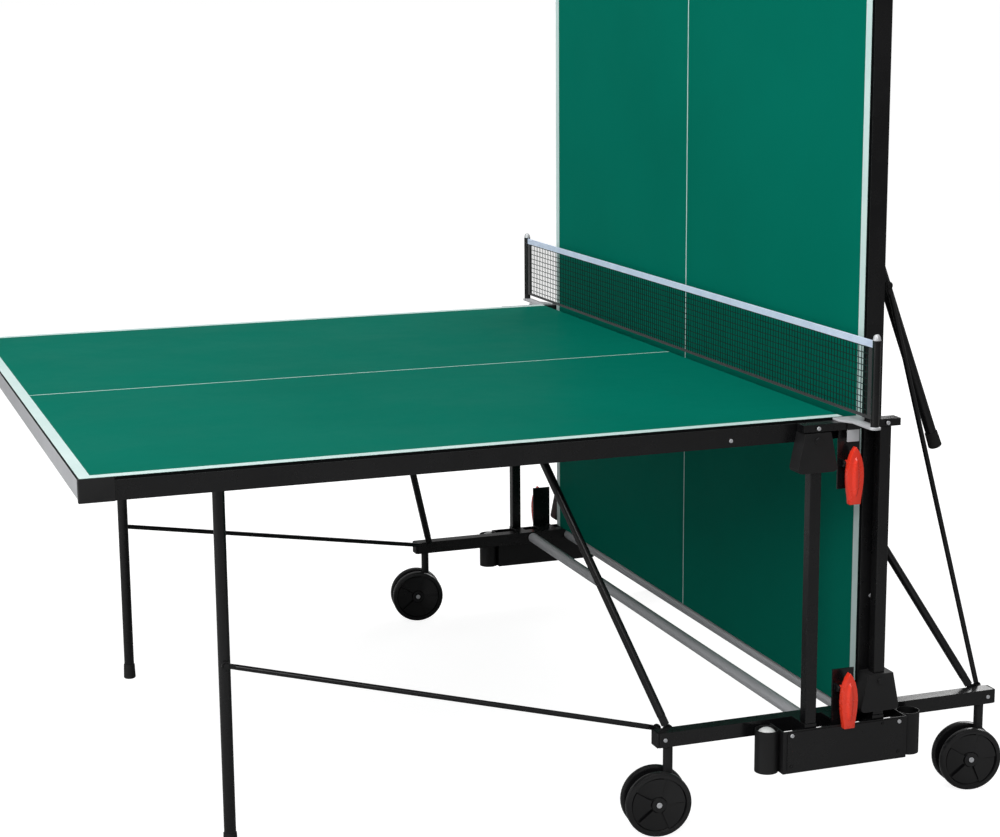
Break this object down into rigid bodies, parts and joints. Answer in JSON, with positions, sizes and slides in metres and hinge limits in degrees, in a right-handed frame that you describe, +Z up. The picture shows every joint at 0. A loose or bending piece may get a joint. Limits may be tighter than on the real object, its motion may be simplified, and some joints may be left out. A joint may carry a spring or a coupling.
{
  "type": "table tennis table",
  "caption": "Wheeled folding table tennis table: a level playing half on fold-down legs, the opposite half stored upright, a net between, red latch levers and side bat holders.",
  "frame": {"origin": "on the floor, under the middle of the whole table's box", "axes": "+X runs along the table from the playing half to the stored half, +Y across the table to its far side, +Z up"},
  "size_m": [1.7402, 1.766, 1.563],
  "materials": {
    "green_panel": "satin green weatherproof laminate panel",
    "black_steel": "semi-gloss black powder coat",
    "galvanised_steel": "light grey galvanised steel",
    "black_plastic": "moulded black plastic with a fine grain",
    "wheel_plastic": "moulded black wheel plastic",
    "red_plastic": "glossy red moulded plastic",
    "black_rubber": "matt black rubber",
    "net_fabric": "dark green knotted mesh"
  },
  "bodies": {
    "undercarriage": {"undercarriage_rail_near": "black_steel", "undercarriage_rail_far": "black_steel", "left_cross_tube": "galvanised_steel", "right_cross_tube": "galvanised_steel", "left_near_post": "black_steel", "left_far_post": "black_steel", "right_near_post": "black_steel", "right_far_post": "black_steel", "top_bar_near": "black_steel", "top_bar_far": "black_steel", "bat_holder_near": "black_plastic", "bat_holder_far": "black_plastic", "net_post_near": "galvanised_steel", "net_post_far": "galvanised_steel", "net": "net_fabric"},
    "left_slider": {"left_near_slide_block": "black_plastic", "left_far_slide_block": "black_plastic"},
    "left_half": {"left_board": "green_panel", "left_outer_end_rail": "galvanised_steel", "left_inner_end_rail": "galvanised_steel", "left_near_side_rail": "black_steel", "left_far_side_rail": "black_steel"},
    "left_legs": {"left_leg_shaft": "black_steel", "left_near_leg": "black_steel", "left_far_leg": "black_steel", "left_near_foot": "black_rubber", "left_far_foot": "black_rubber"},
    "left_struts": {"left_near_strut": "black_steel", "left_far_strut": "black_steel"},
    "left_leg_bars": {"left_near_leg_bar": "black_steel", "left_far_leg_bar": "black_steel"},
    "right_slider": {"right_near_slide_block": "black_plastic", "right_far_slide_block": "black_plastic"},
    "right_half": {"right_board": "green_panel", "right_outer_end_rail": "galvanised_steel", "right_inner_end_rail": "galvanised_steel", "right_near_side_rail": "black_steel", "right_far_side_rail": "black_steel"},
    "right_legs": {"right_leg_shaft": "black_steel", "right_near_leg": "black_steel", "right_far_leg": "black_steel", "right_near_foot": "black_rubber", "right_far_foot": "black_rubber"},
    "right_struts": {"right_near_strut": "black_steel", "right_far_strut": "black_steel"},
    "right_leg_bars": {"right_near_leg_bar": "black_steel", "right_far_leg_bar": "black_steel"},
    "upper_latch_near": {"upper_lever_near": "red_plastic"},
    "upper_latch_far": {"upper_lever_far": "red_plastic"},
    "lower_latch_near": {"lower_lever_near": "red_plastic"},
    "lower_latch_far": {"lower_lever_far": "red_plastic"},
    "left_near_swivel": {"left_near_caster_stem": "black_plastic"},
    "left_far_swivel": {"left_far_caster_stem": "black_plastic"},
    "right_near_swivel": {"right_near_caster_stem": "black_plastic"},
    "right_far_swivel": {"right_far_caster_stem": "black_plastic"},
    "left_near_wheel": {"left_near_caster_wheel": "wheel_plastic"},
    "left_far_wheel": {"left_far_caster_wheel": "wheel_plastic"},
    "right_near_wheel": {"right_near_caster_wheel": "wheel_plastic"},
    "right_far_wheel": {"right_far_caster_wheel": "wheel_plastic"}
  },
  "joints": [
    {"name": "left_slide", "type": "slide", "parent": "undercarriage", "child": "left_slider", "axis": [0, 0, 1], "range_m": [-0.4631, 0]},
    {"name": "left_fold", "type": "hinge", "parent": "left_slider", "child": "left_half", "pos_m": [0.42995, 0, 0.726], "axis": [0, 1, 0], "range_deg": [0, 90]},
    {"name": "left_leg_fold", "type": "hinge", "parent": "left_half", "child": "left_legs", "pos_m": [-0.59705, 0, 0.705], "axis": [0, 1, 0], "range_deg": [-69.49, 0]},
    {"name": "left_strut_turn", "type": "hinge", "parent": "left_half", "child": "left_struts", "pos_m": [0.00321, 0, 0.715], "axis": [0, 1, 0], "range_deg": [-45.84, 0]},
    {"name": "left_bar_turn", "type": "hinge", "parent": "left_legs", "child": "left_leg_bars", "pos_m": [-0.59705, 0, 0.35], "axis": [0, 1, 0], "range_deg": [0, 66.83]},
    {"name": "right_slide", "type": "slide", "parent": "undercarriage", "child": "right_slider", "axis": [0, 0, 1], "range_m": [0, 0.4631]},
    {"name": "right_fold", "type": "hinge", "parent": "right_slider", "child": "right_half", "pos_m": [0.56995, 0, 0.263], "axis": [0, 1, 0], "range_deg": [0, 90]},
    {"name": "right_leg_fold", "type": "hinge", "parent": "right_half", "child": "right_legs", "pos_m": [0.59095, 0, 1.29], "axis": [0, 1, 0], "range_deg": [-69.49, 0]},
    {"name": "right_strut_turn", "type": "hinge", "parent": "right_half", "child": "right_struts", "pos_m": [0.58095, 0, 0.68974], "axis": [0, 1, 0], "range_deg": [-45.84, 0]},
    {"name": "right_bar_turn", "type": "hinge", "parent": "right_legs", "child": "right_leg_bars", "pos_m": [0.71537, 0, 0.95752], "axis": [0, 1, 0], "range_deg": [0, 66.83]},
    {"name": "upper_latch_near_pull", "type": "hinge", "parent": "undercarriage", "child": "upper_latch_near", "pos_m": [0.49995, -0.792, 0.68], "axis": [-1, 0, 0], "range_deg": [0, 25], "stiffness_Nm_per_rad": 0.5, "springref_deg": -17.19},
    {"name": "upper_latch_far_pull", "type": "hinge", "parent": "undercarriage", "child": "upper_latch_far", "pos_m": [0.49995, 0.792, 0.68], "axis": [1, 0, 0], "range_deg": [0, 25], "stiffness_Nm_per_rad": 0.5, "springref_deg": -17.19},
    {"name": "lower_latch_near_pull", "type": "hinge", "parent": "undercarriage", "child": "lower_latch_near", "pos_m": [0.49995, -0.792, 0.257], "axis": [-1, 0, 0], "range_deg": [0, 25], "stiffness_Nm_per_rad": 0.5, "springref_deg": -17.19},
    {"name": "lower_latch_far_pull", "type": "hinge", "parent": "undercarriage", "child": "lower_latch_far", "pos_m": [0.49995, 0.792, 0.257], "axis": [1, 0, 0], "range_deg": [0, 25], "stiffness_Nm_per_rad": 0.5, "springref_deg": -17.19},
    {"name": "left_near_swivel_turn", "type": "hinge", "parent": "undercarriage", "child": "left_near_swivel", "pos_m": [0.17295, -0.728, 0.12], "axis": [0, 0, 1], "continuous": true},
    {"name": "left_far_swivel_turn", "type": "hinge", "parent": "undercarriage", "child": "left_far_swivel", "pos_m": [0.17295, 0.728, 0.12], "axis": [0, 0, 1], "continuous": true},
    {"name": "right_near_swivel_turn", "type": "hinge", "parent": "undercarriage", "child": "right_near_swivel", "pos_m": [0.82695, -0.728, 0.12], "axis": [0, 0, 1], "continuous": true},
    {"name": "right_far_swivel_turn", "type": "hinge", "parent": "undercarriage", "child": "right_far_swivel", "pos_m": [0.82695, 0.728, 0.12], "axis": [0, 0, 1], "continuous": true},
    {"name": "left_near_wheel_spin", "type": "hinge", "parent": "left_near_swivel", "child": "left_near_wheel", "pos_m": [0.15122, -0.72456, 0.062], "axis": [0.1564, 0.9877, 0], "continuous": true},
    {"name": "left_far_wheel_spin", "type": "hinge", "parent": "left_far_swivel", "child": "left_far_wheel", "pos_m": [0.15122, 0.73144, 0.062], "axis": [0.1564, 0.9877, 0], "continuous": true},
    {"name": "right_near_wheel_spin", "type": "hinge", "parent": "right_near_swivel", "child": "right_near_wheel", "pos_m": [0.80522, -0.72456, 0.062], "axis": [0.1564, 0.9877, 0], "continuous": true},
    {"name": "right_far_wheel_spin", "type": "hinge", "parent": "right_far_swivel", "child": "right_far_wheel", "pos_m": [0.80522, 0.73144, 0.062], "axis": [0.1564, 0.9877, 0], "continuous": true}
  ],
  "couplings": [
    {"joint": "left_slide", "follows": "left_fold", "m_per_rad": -0.29475},
    {"joint": "left_leg_fold", "follows": "left_fold", "ratio": -0.77202},
    {"joint": "left_strut_turn", "follows": "left_fold", "ratio": -0.50928},
    {"joint": "left_bar_turn", "follows": "left_fold", "ratio": 0.74244},
    {"joint": "right_slide", "follows": "right_fold", "m_per_rad": 0.29475},
    {"joint": "right_leg_fold", "follows": "right_fold", "ratio": -0.77202},
    {"joint": "right_strut_turn", "follows": "right_fold", "ratio": -0.50928},
    {"joint": "right_bar_turn", "follows": "right_fold", "ratio": 0.74244}
  ]
}
